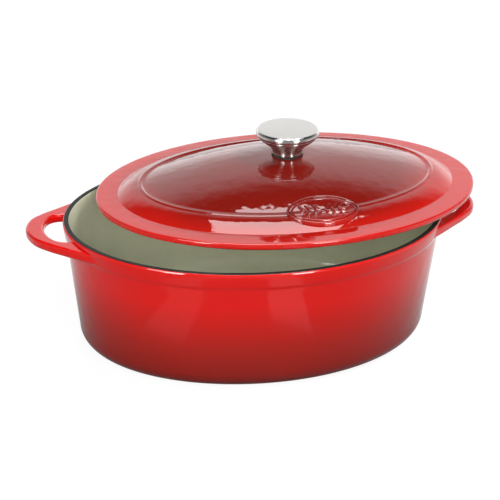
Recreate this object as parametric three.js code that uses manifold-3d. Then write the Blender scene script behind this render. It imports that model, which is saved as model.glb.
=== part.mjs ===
// Oval dutch oven: an enamelled cast-iron pot with two loop handles cast in one with it, and a
// domed lid with a steel knob, set down askew on the rim.
// Millimetres, +Z up. The origin is the middle of the flat underside, +X runs along the oval's
// long axis and -Y is the front. The lid and everything bolted to it are modelled in the lid's
// own frame, whose z = 0 is the top of the lid's flat flange.

import * as THREE from "three";
import Module from "manifold-3d";

const wasm = await Module();
wasm.setup();

// Fits
const SEAT_GAP = 0.3; // between pieces that rest on each other
const SLIDE_GAP = 0.35; // around a piece that passes through another

// Pot casting
const POT_HALF_LENGTH = 150; // outer edge of the dark rim, along X
const POT_HALF_WIDTH = 109.7; // outer edge of the dark rim, along Y
const POT_HEIGHT = 104.8;
const POT_WALL = 4;
const POT_FLOOR = 5;
const POT_DRAFT = 11.2; // how far the wall leans in between rim and underside
const FOOT_RADIUS = 15.5; // round between wall and underside
const BAND_HEIGHT = 12.5; // thickened band below the rim
const BAND_PROUD = 1; // how far the band stands out from the wall

// Loop handles, cast with the pot
const LOOP_REACH = 29.8; // from the rim to the tip
const LOOP_TIP_RADIUS = 35; // plan radius of the outer edge at the tip
const LOOP_BAR = 14; // width of the bar at the tip
const LOOP_THICK = 7.4;
const LOOP_DROP = 3.9; // top of the bar below the rim, at the root
const LOOP_RISE = 2.8; // how much higher the bar lies at the tip
const LOOP_ROOT_SPAN = 52; // half width where the bar has run out into the band
const GRIP_SPAN = 24.4; // half length of the finger gap
const GRIP_RADIUS = 35; // plan radius of the finger gap's outer side

// Lid casting
const LID_OVERHANG = 3.5; // lid edge beyond the outer edge of the rim
const LID_EDGE = 4.8; // thickness of the flange
const LID_WALL = 4.4; // thickness of the dome
const FLANGE_WIDTH = 17.1;
const BEAD_INSET = 35; // crest of the raised bead, in from the lid's edge
const BEAD_WIDTH = 3;
const BEAD_RISE = 0.9; // bead above the surface beside it
const SHOULDER_RISE = 7.6; // foot of the bead above the flange
const DOME_RISE = 25; // landing of the knob above the flange
const LANDING_RADIUS = 14; // flat round landing under the knob
const RIB_HEIGHT = 4.5; // locating rib below the flange
const RIB_WIDTH = 4;
const MOUTH_CLEARANCE = 1.5; // rib to the pot's mouth when the lid is on straight

// Oval medallion on the front of the lid
const MEDAL_HALF_LENGTH = 28.5;
const MEDAL_HALF_WIDTH = 16.3;
const MEDAL_RISE = 1.7; // border above the lid
const MEDAL_X = 6;
const MEDAL_BACK = 1; // its middle behind the crest of the bead
const MEDAL_DEPTH = 2; // how deep it is rooted in the lid

// Where the lid lies
const LID_SHIFT_X = 30.3;
const LID_SHIFT_Y = 20.5;
const LID_TILT_X = -0.021;
const LID_TILT_Y = -0.008;
const LID_TURN = 0.052;

// Knob
const KNOB_RADIUS = 25.2;
const KNOB_FACE_RADIUS = 22.5; // satin top face
const KNOB_HEIGHT = 22.3; // from the landing to the top face
const NECK_RADIUS = 12.4;
const CAP_DEPTH = 5.8; // turned-down edge of the cap
const CAP_TUCK = 1.8; // lower edge of the cap in from its widest ring
const SHEET = 1.4; // pressed steel sheet
const GASKET_THICK = 0.8;
const BOSS_RADIUS = 8.6;
const BOSS_HEIGHT = 9;

// Screw
const SCREW_RADIUS = 2.9;
const SCREW_HEAD_RADIUS = 5.6;
const SCREW_HEAD_HEIGHT = 3.4;
const WASHER_RADIUS = 7.4;
const WASHER_THICK = 1.2;
const LOCK_RADIUS = 5.3;
const LOCK_THICK = 1.6;

// Facets around
const OVAL_STEPS = 64;
const ROUND_STEPS = 32;
const SMALL_STEPS = 24;

// A skin of rings, each ring one closed loop of points in the same order. The ends are closed
// with a fan, or the last ring is joined back to the first one.
function skin(rings, joined) {
  const around = rings[0].length;
  const points = rings.flat();
  const faces = [];
  const bands = joined ? rings.length : rings.length - 1;
  for (let j = 0; j < bands; j += 1) {
    const low = j * around;
    const high = ((j + 1) % rings.length) * around;
    for (let i = 0; i < around; i += 1) {
      const k = (i + 1) % around;
      faces.push(low + i, low + k, high + k);
      faces.push(low + i, high + k, high + i);
    }
  }
  if (!joined) {
    for (const [ring, flip] of [[rings[0], true], [rings[rings.length - 1], false]]) {
      const base = flip ? 0 : (rings.length - 1) * around;
      const middle = new THREE.Vector3();
      ring.forEach((p) => middle.addScaledVector(p, 1 / around));
      points.push(middle);
      for (let i = 0; i < around; i += 1) {
        const k = (i + 1) % around;
        const pair = flip ? [base + k, base + i] : [base + i, base + k];
        faces.push(pair[0], pair[1], points.length - 1);
      }
    }
  }
  const geometry = new THREE.BufferGeometry();
  const flat = points.flatMap((p) => [p.x, p.y, p.z]);
  geometry.setAttribute("position", new THREE.Float32BufferAttribute(flat, 3));
  geometry.setIndex(faces);
  return geometry;
}

// One level ellipse of points.
function oval(halfLength, halfWidth, z, steps = OVAL_STEPS) {
  const ring = [];
  for (let i = 0; i < steps; i += 1) {
    const a = (2 * Math.PI * i) / steps;
    ring.push(new THREE.Vector3(halfLength * Math.cos(a), halfWidth * Math.sin(a), z));
  }
  return ring;
}

// A turned piece from (radius, height) pairs that run up the outside and down the inside.
function turned(profile, steps, joined) {
  return skin(profile.map(([r, z]) => oval(r, r, z, steps)), joined);
}

function solid(geometry) {
  const numProp = 3;
  const vertProperties = new Float32Array(geometry.getAttribute("position").array);
  const triVerts = new Uint32Array(geometry.getIndex().array);
  return new wasm.Manifold(new wasm.Mesh({ numProp, vertProperties, triVerts }));
}

function boxAt(sx, sy, sz, x, y, z) {
  const box = new THREE.BoxGeometry(sx, sy, sz).translate(x, y, z);
  const at = box.getAttribute("position");
  const corners = [];
  const index = [];
  for (const i of box.getIndex().array) {
    const p = new THREE.Vector3().fromBufferAttribute(at, i);
    let known = corners.findIndex((c) => c.distanceTo(p) < 1e-6);
    if (known < 0) {
      known = corners.push(p) - 1;
    }
    index.push(known);
  }
  const plain = new THREE.BufferGeometry();
  const flat = corners.flatMap((p) => [p.x, p.y, p.z]);
  plain.setAttribute("position", new THREE.Float32BufferAttribute(flat, 3));
  plain.setIndex(index);
  return solid(plain);
}

function geometryOf(body) {
  const mesh = body.getMesh();
  const geometry = new THREE.BufferGeometry();
  const stride = mesh.numProp;
  const flat = [];
  for (let i = 0; i < mesh.vertProperties.length; i += stride) {
    flat.push(mesh.vertProperties[i], mesh.vertProperties[i + 1], mesh.vertProperties[i + 2]);
  }
  geometry.setAttribute("position", new THREE.Float32BufferAttribute(flat, 3));
  geometry.setIndex(Array.from(mesh.triVerts));
  return geometry;
}

function piece(name, geometry, color, roughness, metalness) {
  geometry.computeVertexNormals();
  const material = new THREE.MeshStandardMaterial({ color, roughness, metalness });
  const mesh = new THREE.Mesh(geometry, material);
  mesh.name = name;
  return mesh;
}

// Pot: one shell from the middle of the underside out and up the wall, over the rim and down
// inside to the middle of the floor. Every ring is an ellipse inset by the same amount all round.
const potRing = (inset, z) => oval(POT_HALF_LENGTH - inset, POT_HALF_WIDTH - inset, z);
const wallInset = (z) => POT_DRAFT * (1 - z / POT_HEIGHT);
const potRings = [];
const FOOT_TURNS = [90, 72, 54, 36, 18, 0].map(THREE.MathUtils.degToRad);
for (const a of FOOT_TURNS) {
  const inset = wallInset(FOOT_RADIUS) + FOOT_RADIUS * (1 - Math.cos(a));
  potRings.push(potRing(inset, FOOT_RADIUS * (1 - Math.sin(a))));
}
const bandFoot = POT_HEIGHT - BAND_HEIGHT;
potRings.push(potRing(wallInset(POT_HEIGHT / 2), POT_HEIGHT / 2));
potRings.push(potRing(wallInset(bandFoot - 2.5), bandFoot - 2.5));
potRings.push(potRing(wallInset(bandFoot) - 0.3 * BAND_PROUD, bandFoot));
potRings.push(potRing(wallInset(bandFoot + 2.5) - BAND_PROUD, bandFoot + 2.5));
potRings.push(potRing(-BAND_PROUD, POT_HEIGHT - 2.4));
potRings.push(potRing(-0.7 * BAND_PROUD, POT_HEIGHT - 0.9));
potRings.push(potRing(0, POT_HEIGHT - 0.15));
potRings.push(potRing(0.5, POT_HEIGHT));
potRings.push(potRing(POT_WALL - 0.9, POT_HEIGHT));
potRings.push(potRing(POT_WALL - 0.25, POT_HEIGHT - 0.35));
potRings.push(potRing(POT_WALL, POT_HEIGHT - 1.2));
const insideRadius = FOOT_RADIUS - 1.5;
const insideFoot = POT_FLOOR + insideRadius;
potRings.push(potRing(wallInset(POT_HEIGHT / 2) + POT_WALL, POT_HEIGHT / 2));
for (const a of [...FOOT_TURNS].reverse()) {
  const inset = wallInset(insideFoot) + POT_WALL + insideRadius * (1 - Math.cos(a));
  potRings.push(potRing(inset, insideFoot - insideRadius * Math.sin(a)));
}

// Loop handle: a bar of rounded section carried from the band round the finger gap and back.
// Its outer and inner edges are two plan curves; each section spans them at one station.
const SECTION_STEPS = 14;
const SECTION_POWER = 3.2; // squareness of the rounded section
const STATIONS_PER_SIDE = 13;

function rimAt(y, inset) {
  const across = y / (POT_HALF_WIDTH - inset);
  return (POT_HALF_LENGTH - inset) * Math.sqrt(1 - across * across);
}

// A smooth plan curve through points given from the tip to one root and mirrored to the other.
function halfCurve(points) {
  const mirrored = points.slice(1).reverse().map((p) => new THREE.Vector3(p.x, -p.y, 0));
  const whole = new THREE.CatmullRomCurve3([...mirrored, ...points]);
  return (t) => whole.getPoint(0.5 + 0.5 * t);
}

function loopHandle(side) {
  const tip = POT_HALF_LENGTH + LOOP_REACH;
  const onArc = (top, radius, degrees) => {
    const a = THREE.MathUtils.degToRad(degrees);
    return new THREE.Vector3(top - radius + radius * Math.cos(a), radius * Math.sin(a), 0);
  };
  const flankStart = onArc(tip, LOOP_TIP_RADIUS, 56);
  const flankEnd = new THREE.Vector3(rimAt(LOOP_ROOT_SPAN, -BAND_PROUD / 2), LOOP_ROOT_SPAN, 0);
  const runOut = 1.2 * LOOP_ROOT_SPAN;
  const outerEdge = halfCurve([
    onArc(tip, LOOP_TIP_RADIUS, 0),
    onArc(tip, LOOP_TIP_RADIUS, 30),
    flankStart,
    flankStart.clone().lerp(flankEnd, 0.34),
    flankStart.clone().lerp(flankEnd, 0.7),
    flankEnd,
    new THREE.Vector3(rimAt(runOut, BAND_PROUD / 2), runOut, 0),
  ]);
  const gripTip = tip - LOOP_BAR;
  const gripWall = rimAt(GRIP_SPAN, 0);
  const innerEdge = halfCurve([
    onArc(gripTip, GRIP_RADIUS, 0),
    onArc(gripTip, GRIP_RADIUS, 18),
    onArc(gripTip, GRIP_RADIUS, 34),
    new THREE.Vector3(gripWall + 0.47 * (gripTip - gripWall), 0.95 * GRIP_SPAN, 0),
    new THREE.Vector3(gripWall + 0.22 * (gripTip - gripWall), GRIP_SPAN, 0),
    new THREE.Vector3(gripWall, 0.99 * GRIP_SPAN, 0),
    new THREE.Vector3(rimAt(0.96 * GRIP_SPAN, POT_WALL / 2), 0.96 * GRIP_SPAN, 0),
  ]);
  const rise = (x) => (LOOP_RISE * Math.max(x - flankEnd.x, 0)) / (tip - flankEnd.x);
  const rings = [];
  for (let s = -STATIONS_PER_SIDE; s <= STATIONS_PER_SIDE; s += 1) {
    const t = Math.abs(s) / STATIONS_PER_SIDE;
    const hand = s < 0 ? -1 : 1;
    const outer = outerEdge(t);
    const inner = innerEdge(t);
    const root = THREE.MathUtils.smoothstep(t, 0.55, 1);
    const thick = LOOP_THICK + 0.6 * root;
    const top = POT_HEIGHT - LOOP_DROP + 0.6 * root;
    const ring = [];
    for (let i = 0; i < SECTION_STEPS; i += 1) {
      const a = (2 * Math.PI * (i + 0.5)) / SECTION_STEPS;
      const bulge = (v) => Math.sign(v) * Math.abs(v) ** (2 / SECTION_POWER);
      const p = inner.clone().lerp(outer, 0.5 + 0.5 * bulge(Math.cos(a)));
      const z = top - thick / 2 + 0.5 * thick * bulge(Math.sin(a)) + rise(p.x);
      ring.push(new THREE.Vector3(side * p.x, side * hand * p.y, z));
    }
    rings.push(ring);
  }
  return solid(skin(rings.reverse(), false));
}

const potBody = solid(skin(potRings, false)).add(loopHandle(1)).add(loopHandle(-1));

// Lid: one skin joined round on itself, from the edge over flange, shoulder, bead and dome to
// the screw hole, and back along the underside over the locating rib. Between the bead and the
// landing the rings pass from the oval to a circle.
const LID_HALF_LENGTH = POT_HALF_LENGTH + LID_OVERHANG;
const LID_HALF_WIDTH = POT_HALF_WIDTH + LID_OVERHANG;
const screwHole = SCREW_RADIUS + SLIDE_GAP;
const domeStart = BEAD_INSET + 0.8 * BEAD_WIDTH;
const shoulderTop = BEAD_INSET - 0.8 * BEAD_WIDTH;
const lidRing = (inset, z) => oval(LID_HALF_LENGTH - inset, LID_HALF_WIDTH - inset, z);
const shoulderAt = (inset) => {
  const u = (inset - FLANGE_WIDTH) / (shoulderTop - FLANGE_WIDTH);
  return SHOULDER_RISE * Math.sin(0.5 * Math.PI * Math.min(Math.max(u, 0), 1)) ** 0.9;
};
const domeHeight = (u) => SHOULDER_RISE + (DOME_RISE - SHOULDER_RISE) * (1 - (1 - u) ** 1.7);
function domeRing(u, drop, grow) {
  const mix = THREE.MathUtils.lerp;
  const halfLength = mix(LID_HALF_LENGTH - domeStart, LANDING_RADIUS, u) + grow;
  const halfWidth = mix(LID_HALF_WIDTH - domeStart, LANDING_RADIUS, u) + grow;
  return oval(halfLength, halfWidth, domeHeight(u) - drop);
}

const ribInset = LID_OVERHANG + POT_WALL + MOUTH_CLEARANCE;
const lidRings = [
  lidRing(1.2, -LID_EDGE),
  lidRing(0.3, -LID_EDGE + 0.7),
  lidRing(0, -LID_EDGE + 1.6),
  lidRing(0, -1.4),
  lidRing(0.4, -0.5),
  lidRing(1.3, 0),
  lidRing(FLANGE_WIDTH - 0.6, 0.1),
];
for (const u of [0.02, 0.12, 0.35, 0.65, 1]) {
  const inset = THREE.MathUtils.lerp(FLANGE_WIDTH, shoulderTop, u);
  lidRings.push(lidRing(inset, shoulderAt(inset)));
}
for (const [across, rise] of [[-0.45, 0.45], [-0.2, 0.9], [0.1, 1], [0.4, 0.6], [0.8, 0]]) {
  lidRings.push(lidRing(BEAD_INSET + across * BEAD_WIDTH, SHOULDER_RISE + rise * BEAD_RISE));
}
for (const u of [0.12, 0.28, 0.48, 0.72, 0.9, 1]) {
  lidRings.push(domeRing(u, 0, 0));
}
lidRings.push(oval(screwHole, screwHole, DOME_RISE));
lidRings.push(oval(screwHole, screwHole, DOME_RISE - LID_WALL));
for (const u of [1, 0.88, 0.66, 0.4, 0.16, 0]) {
  lidRings.push(domeRing(u, LID_WALL, -1.2 * (1 - u)));
}
lidRings.push(lidRing(BEAD_INSET - 0.5 * BEAD_WIDTH, SHOULDER_RISE - LID_WALL - 0.5));
lidRings.push(lidRing(FLANGE_WIDTH + 8, SHOULDER_RISE - LID_WALL - 2.4));
lidRings.push(lidRing(FLANGE_WIDTH + 2.6, -LID_EDGE + 1));
lidRings.push(lidRing(FLANGE_WIDTH, -LID_EDGE));
lidRings.push(lidRing(ribInset + RIB_WIDTH + 0.8, -LID_EDGE));
lidRings.push(lidRing(ribInset + RIB_WIDTH, -LID_EDGE - 0.8));
lidRings.push(lidRing(ribInset + RIB_WIDTH - 0.4, -LID_EDGE - RIB_HEIGHT + 0.9));
lidRings.push(lidRing(ribInset + RIB_WIDTH - 1.2, -LID_EDGE - RIB_HEIGHT));
lidRings.push(lidRing(ribInset + 1.1, -LID_EDGE - RIB_HEIGHT));
lidRings.push(lidRing(ribInset + 0.3, -LID_EDGE - RIB_HEIGHT + 0.9));
lidRings.push(lidRing(ribInset, -LID_EDGE - 0.8));
lidRings.push(lidRing(ribInset - 0.8, -LID_EDGE));

// Medallion: a bare oval plaque with a double raised border, cast across the bead. Its faces
// follow the lid, so the height of the lid under any point is looked up first.
function lidHeightAt(x, y) {
  let low = 0;
  let high = LID_HALF_WIDTH - LANDING_RADIUS;
  for (let i = 0; i < 40; i += 1) {
    const inset = 0.5 * (low + high);
    const inside = Math.hypot(x / (LID_HALF_LENGTH - inset), y / (LID_HALF_WIDTH - inset)) < 1;
    low = inside ? inset : low;
    high = inside ? high : inset;
  }
  if (low < domeStart) {
    return shoulderAt(low);
  }
  const u = (low - domeStart) / (LID_HALF_WIDTH - domeStart - LANDING_RADIUS);
  return domeHeight(Math.min(u, 1));
}

const MEDAL_STEPS = 40;
const medalY = MEDAL_BACK - (LID_HALF_WIDTH - BEAD_INSET);
function medalRing(size, rise) {
  return oval(size * MEDAL_HALF_LENGTH, size * MEDAL_HALF_WIDTH, 0, MEDAL_STEPS).map((p) => {
    const x = MEDAL_X + p.x;
    const y = medalY + p.y;
    const lean = 0.75 * lidHeightAt(x, y) + 0.25 * SHOULDER_RISE;
    return new THREE.Vector3(x, y, lean + rise);
  });
}
const field = 0.45 * MEDAL_RISE;
const medalRings = [
  medalRing(1, -MEDAL_DEPTH),
  medalRing(1, 0.75 * MEDAL_RISE),
  medalRing(0.965, MEDAL_RISE),
  medalRing(0.925, MEDAL_RISE),
  medalRing(0.89, field),
  medalRing(0.855, field),
  medalRing(0.825, 0.85 * MEDAL_RISE),
  medalRing(0.79, 0.85 * MEDAL_RISE),
  medalRing(0.75, field),
  medalRing(0.35, field),
];
const lidBody = solid(skin(lidRings, true)).add(solid(skin(medalRings, false)));

// Knob: a pressed cap closes a trumpet-shaped stem; a threaded boss inside takes the screw and a
// thin gasket keeps the steel off the enamel. Heights count from the lid's flange.
const stemFoot = DOME_RISE + 2 * SEAT_GAP + GASKET_THICK;
const knobTop = DOME_RISE + KNOB_HEIGHT;
const capLow = knobTop - CAP_DEPTH;
const capEdge = KNOB_RADIUS - CAP_TUCK;
const capProfile = [
  [capEdge - SHEET, capLow],
  [capEdge - 0.2, capLow],
  [KNOB_RADIUS - 0.15, capLow + 0.2 * CAP_DEPTH],
  [KNOB_RADIUS, capLow + 0.4 * CAP_DEPTH],
  [KNOB_RADIUS - 0.5, capLow + 0.68 * CAP_DEPTH],
  [KNOB_FACE_RADIUS + 1, capLow + 0.88 * CAP_DEPTH],
  [KNOB_FACE_RADIUS, knobTop - 0.3],
  [0.5 * KNOB_FACE_RADIUS, knobTop - 0.05],
  [0.2, knobTop],
];
const capInside = [
  [0.2, knobTop - SHEET],
  [KNOB_FACE_RADIUS - 1, knobTop - SHEET - 0.3],
  [KNOB_RADIUS - 2.2, knobTop - SHEET - 1.4],
  [KNOB_RADIUS - 1.7, capLow + 0.4 * CAP_DEPTH],
];
const capGeometry = skin(
  [...capInside, ...capProfile].map(([r, z]) => oval(r, r, z, ROUND_STEPS)),
  false,
);

const stemTop = capLow - SEAT_GAP;
const flare = capEdge - 0.6;
const stemRadius = (u) => {
  const ease = u * u * (3 - 2 * u);
  return NECK_RADIUS + (flare - NECK_RADIUS) * ease ** 1.8;
};
const boreRadius = SCREW_RADIUS + SLIDE_GAP;
const spigotRadius = boreRadius + 2.6;
const stemProfile = [[spigotRadius + SLIDE_GAP, stemFoot], [NECK_RADIUS - 0.4, stemFoot]];
for (const u of [0.04, 0.22, 0.38, 0.52, 0.66, 0.8, 0.92, 1]) {
  stemProfile.push([stemRadius(u), THREE.MathUtils.lerp(stemFoot, stemTop, u)]);
}
const lip = capEdge - SHEET - SLIDE_GAP;
stemProfile.push([lip, stemTop]);
stemProfile.push([lip, stemTop + 0.3 * CAP_DEPTH]);
stemProfile.push([lip - SHEET, stemTop + 0.3 * CAP_DEPTH]);
for (const u of [0.9, 0.74, 0.58, 0.4, 0.16]) {
  stemProfile.push([stemRadius(u) - SHEET, THREE.MathUtils.lerp(stemFoot, stemTop, u) + 0.5]);
}
stemProfile.push([NECK_RADIUS - SHEET - 0.4, stemFoot + SHEET]);
stemProfile.push([spigotRadius + SLIDE_GAP, stemFoot + SHEET]);

const bossFoot = stemFoot + SHEET + SEAT_GAP;
const bossProfile = [
  [boreRadius, stemFoot],
  [spigotRadius, stemFoot],
  [spigotRadius, bossFoot],
  [BOSS_RADIUS, bossFoot],
  [BOSS_RADIUS, bossFoot + BOSS_HEIGHT - 0.8],
  [BOSS_RADIUS - 0.8, bossFoot + BOSS_HEIGHT],
  [boreRadius, bossFoot + BOSS_HEIGHT],
];

const gasketLow = DOME_RISE + SEAT_GAP;
const gasketProfile = [
  [boreRadius, gasketLow],
  [NECK_RADIUS + 0.2, gasketLow],
  [NECK_RADIUS + 0.2, gasketLow + GASKET_THICK],
  [boreRadius, gasketLow + GASKET_THICK],
];

// Screw from below: plain washer against the lid, split washer, pan head with a cross recess.
const washerLow = DOME_RISE - LID_WALL - SEAT_GAP - WASHER_THICK;
const washerProfile = [
  [boreRadius, washerLow],
  [WASHER_RADIUS, washerLow],
  [WASHER_RADIUS, washerLow + WASHER_THICK],
  [boreRadius, washerLow + WASHER_THICK],
];
const lockLow = washerLow - SEAT_GAP - LOCK_THICK;
const lockProfile = [
  [boreRadius, lockLow],
  [LOCK_RADIUS, lockLow],
  [LOCK_RADIUS, lockLow + LOCK_THICK],
  [boreRadius, lockLow + LOCK_THICK],
];
const lockRing = solid(turned(lockProfile, SMALL_STEPS, true));
const lockSplit = boxAt(LOCK_RADIUS, 1.2, 2 * LOCK_THICK, LOCK_RADIUS, 0, lockLow + LOCK_THICK / 2);
const headTop = lockLow - SEAT_GAP;
const headLow = headTop - SCREW_HEAD_HEIGHT;
const screwTip = bossFoot + 0.75 * BOSS_HEIGHT;
const screwProfile = [
  [0.55 * SCREW_HEAD_RADIUS, headLow],
  [0.85 * SCREW_HEAD_RADIUS, headLow + 0.3],
  [0.97 * SCREW_HEAD_RADIUS, headLow + 0.35 * SCREW_HEAD_HEIGHT],
  [SCREW_HEAD_RADIUS, headTop],
  [SCREW_RADIUS, headTop],
  [SCREW_RADIUS, screwTip - 0.8],
  [SCREW_RADIUS - 0.7, screwTip],
];
const recessLong = 0.95 * SCREW_HEAD_RADIUS;
const recessDeep = 0.5 * SCREW_HEAD_HEIGHT;
const screwBody = solid(turned(screwProfile, SMALL_STEPS, false))
  .subtract(boxAt(recessLong, 1.1, 2 * recessDeep, 0, 0, headLow))
  .subtract(boxAt(1.1, recessLong, 2 * recessDeep, 0, 0, headLow));

// The lid stands on the lowest point of its rib, which lies on the rim.
const tiltDrop = Math.hypot(
  (LID_HALF_LENGTH - ribInset) * Math.sin(LID_TILT_Y),
  (LID_HALF_WIDTH - ribInset) * Math.sin(LID_TILT_X),
);
const lidRest = POT_HEIGHT + SEAT_GAP + RIB_HEIGHT + LID_EDGE + tiltDrop;

const RED = 0xc41e1a;
const STEEL = 0xb9b9b6;
const ZINC = 0x9a9c9c;

const lidGroup = new THREE.Group();
lidGroup.position.set(LID_SHIFT_X, LID_SHIFT_Y, lidRest);
lidGroup.rotation.set(LID_TILT_X, LID_TILT_Y, LID_TURN, "ZYX");
lidGroup.add(piece("lid", geometryOf(lidBody), RED, 0.18, 0));
lidGroup.add(piece("knob_gasket", turned(gasketProfile, ROUND_STEPS, true), 0x2b2a28, 0.85, 0));
lidGroup.add(piece("knob_stem", turned(stemProfile, ROUND_STEPS, true), STEEL, 0.22, 1));
lidGroup.add(piece("knob_boss", turned(bossProfile, SMALL_STEPS, true), ZINC, 0.5, 1));
lidGroup.add(piece("knob_cap", capGeometry, STEEL, 0.3, 1));
lidGroup.add(piece("screw_washer", turned(washerProfile, SMALL_STEPS, true), ZINC, 0.4, 1));
lidGroup.add(piece("lock_washer", geometryOf(lockRing.subtract(lockSplit)), ZINC, 0.45, 1));
lidGroup.add(piece("knob_screw", geometryOf(screwBody), ZINC, 0.35, 1));

const group = new THREE.Group();
group.add(piece("pot", geometryOf(potBody), RED, 0.18, 0));
group.add(lidGroup);

export default group;
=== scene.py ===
import math

import bpy
from mathutils import Matrix, Vector


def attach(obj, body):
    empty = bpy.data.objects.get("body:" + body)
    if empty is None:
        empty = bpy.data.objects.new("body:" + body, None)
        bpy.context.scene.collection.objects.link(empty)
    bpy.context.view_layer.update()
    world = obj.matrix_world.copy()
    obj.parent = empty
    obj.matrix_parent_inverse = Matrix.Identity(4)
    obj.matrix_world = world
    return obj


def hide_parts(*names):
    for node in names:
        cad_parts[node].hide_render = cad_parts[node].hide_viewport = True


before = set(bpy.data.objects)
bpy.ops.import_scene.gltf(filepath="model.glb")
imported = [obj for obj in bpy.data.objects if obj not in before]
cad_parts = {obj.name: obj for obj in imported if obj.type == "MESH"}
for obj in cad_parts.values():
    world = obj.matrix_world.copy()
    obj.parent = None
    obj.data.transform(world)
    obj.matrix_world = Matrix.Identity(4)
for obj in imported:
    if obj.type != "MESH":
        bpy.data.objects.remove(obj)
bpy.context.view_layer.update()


# Pot body: one grey-iron casting with a flat foot, walls that lean in for the mould, and a band
# below the rim that is a little thicker. Glass enamel is fused on in coats: red outside and
# darker towards the foot, cream inside, dark and matt on the level top of the rim. The darkening
# of the red towards the foot is partly the enamel's own colour and partly painted shade.
MM = 0.001
RIM_HALF_LENGTH = 150 * MM
RIM_HALF_WIDTH = 109.7 * MM
POT_HEIGHT = 104.8 * MM
POT_WALL = 4 * MM
POT_FLOOR = 5 * MM
POT_LEAN = 11.2 * MM
FOOT_ROUND = 15.5 * MM
BAND_HEIGHT = 12.5 * MM
BAND_PROUD = 1 * MM
BAND_SOFTNESS = 2.2 * MM
LIP_DROP = 2.4 * MM
LIP_INNER_ROUND = 1.1 * MM
INSIDE_ROUND = FOOT_ROUND - 1.5 * MM
INSIDE_FLOOR_RINGS = (45 * MM, 75 * MM)
DARK_COAT_FROM = -0.12 * BAND_PROUD
DARK_COAT_TO = 0.2 * math.pi
OVAL_STEPS = 224
RED_COAT, DARK_COAT, CREAM_COAT = 0, 1, 2


def oval(half_length, half_width, z, steps=OVAL_STEPS):
    turns = [2 * math.pi * i / steps for i in range(steps)]
    return [Vector((half_length * math.cos(a), half_width * math.sin(a), z)) for a in turns]


def mix(a, b, t):
    return a + (b - a) * t


def ease(t):
    t = min(max(t, 0.0), 1.0)
    return t * t * (3 - 2 * t)


def steps_between(a, b, count):
    return [mix(a, b, i / count) for i in range(count + 1)]


def skin(name, rings, coats, joined=False):
    """A piece from rings of points. coats gives the material of the faces after each ring."""
    around = len(rings[0])
    points = [p for ring in rings for p in ring]
    faces = []
    paint = []
    for j in range(len(rings) if joined else len(rings) - 1):
        low = j * around
        high = (j + 1) % len(rings) * around
        for i in range(around):
            k = (i + 1) % around
            faces.append((low + i, low + k, high + k, high + i))
            paint.append(coats[j])
    if not joined:
        for ring, first, coat in ((rings[0], 0, coats[0]), (rings[-1], len(points) - around, coats[-1])):
            middle = len(points)
            points.append(sum(ring, Vector()) / around)
            for i in range(around):
                k = (i + 1) % around
                pair = (first + k, first + i) if first == 0 else (first + i, first + k)
                faces.append((*pair, middle))
                paint.append(coat)
    mesh = bpy.data.meshes.new(name)
    mesh.from_pydata([tuple(p) for p in points], [], faces)
    for face, coat in zip(mesh.polygons, paint):
        face.material_index = coat
        face.use_smooth = True
    piece = bpy.data.objects.new(name, mesh)
    bpy.context.scene.collection.objects.link(piece)
    return piece


def wall_lean(z):
    return POT_LEAN * (1 - z / POT_HEIGHT)


band_foot = POT_HEIGHT - BAND_HEIGHT
pot_rows = []
for a in steps_between(math.pi / 2, 0, 14):
    inset = wall_lean(FOOT_ROUND) + FOOT_ROUND * (1 - math.cos(a))
    pot_rows.append((inset, FOOT_ROUND * (1 - math.sin(a)), RED_COAT))
for z in steps_between(FOOT_ROUND, band_foot - BAND_SOFTNESS, 12)[1:]:
    pot_rows.append((wall_lean(z), z, RED_COAT))
for t in steps_between(0, 1, 10)[1:]:
    z = band_foot + BAND_SOFTNESS * (2 * t - 1)
    pot_rows.append((wall_lean(z) - BAND_PROUD * ease(t), z, RED_COAT))
band_top = POT_HEIGHT - LIP_DROP
for t in steps_between(0, 1, 4)[1:]:
    z = mix(band_foot + BAND_SOFTNESS, band_top, t)
    pot_rows.append((mix(pot_rows[-1][0], -BAND_PROUD, t), z, RED_COAT))
for a in steps_between(0, math.pi / 2, 12)[1:]:
    inset = -BAND_PROUD + 1.5 * BAND_PROUD * (1 - math.cos(a))
    z = band_top + LIP_DROP * math.sin(a)
    pot_rows.append((inset, z, DARK_COAT if inset > DARK_COAT_FROM else RED_COAT))
for inset in steps_between(0.5 * BAND_PROUD, POT_WALL - LIP_INNER_ROUND, 4)[1:]:
    pot_rows.append((inset, POT_HEIGHT, DARK_COAT))
for a in steps_between(0, math.pi / 2, 8)[1:]:
    inset = POT_WALL - LIP_INNER_ROUND + LIP_INNER_ROUND * math.sin(a)
    coat = DARK_COAT if a < DARK_COAT_TO else CREAM_COAT
    pot_rows.append((inset, POT_HEIGHT - LIP_INNER_ROUND * (1 - math.cos(a)), coat))
inside_foot = POT_FLOOR + INSIDE_ROUND
for z in steps_between(POT_HEIGHT - LIP_INNER_ROUND, inside_foot, 14)[1:]:
    pot_rows.append((wall_lean(z) + POT_WALL, z, CREAM_COAT))
for a in steps_between(0, math.pi / 2, 14)[1:]:
    inset = wall_lean(inside_foot) + POT_WALL + INSIDE_ROUND * (1 - math.cos(a))
    pot_rows.append((inset, inside_foot - INSIDE_ROUND * math.sin(a), CREAM_COAT))
for inset in INSIDE_FLOOR_RINGS:
    pot_rows.append((inset, POT_FLOOR, CREAM_COAT))

pot_rings = [oval(RIM_HALF_LENGTH - inset, RIM_HALF_WIDTH - inset, z) for inset, z, coat in pot_rows]
pot = skin("pot_casting", pot_rings, [coat for inset, z, coat in pot_rows])


def shader(name):
    material = bpy.data.materials.new(name)
    material.use_nodes = True
    tree = material.node_tree
    tree.nodes.clear()
    out = tree.nodes.new("ShaderNodeOutputMaterial")
    finish = tree.nodes.new("ShaderNodeBsdfPrincipled")
    tree.links.new(finish.outputs["BSDF"], out.inputs["Surface"])
    where = tree.nodes.new("ShaderNodeTexCoord").outputs["Object"]
    return material, tree, finish, where


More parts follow.
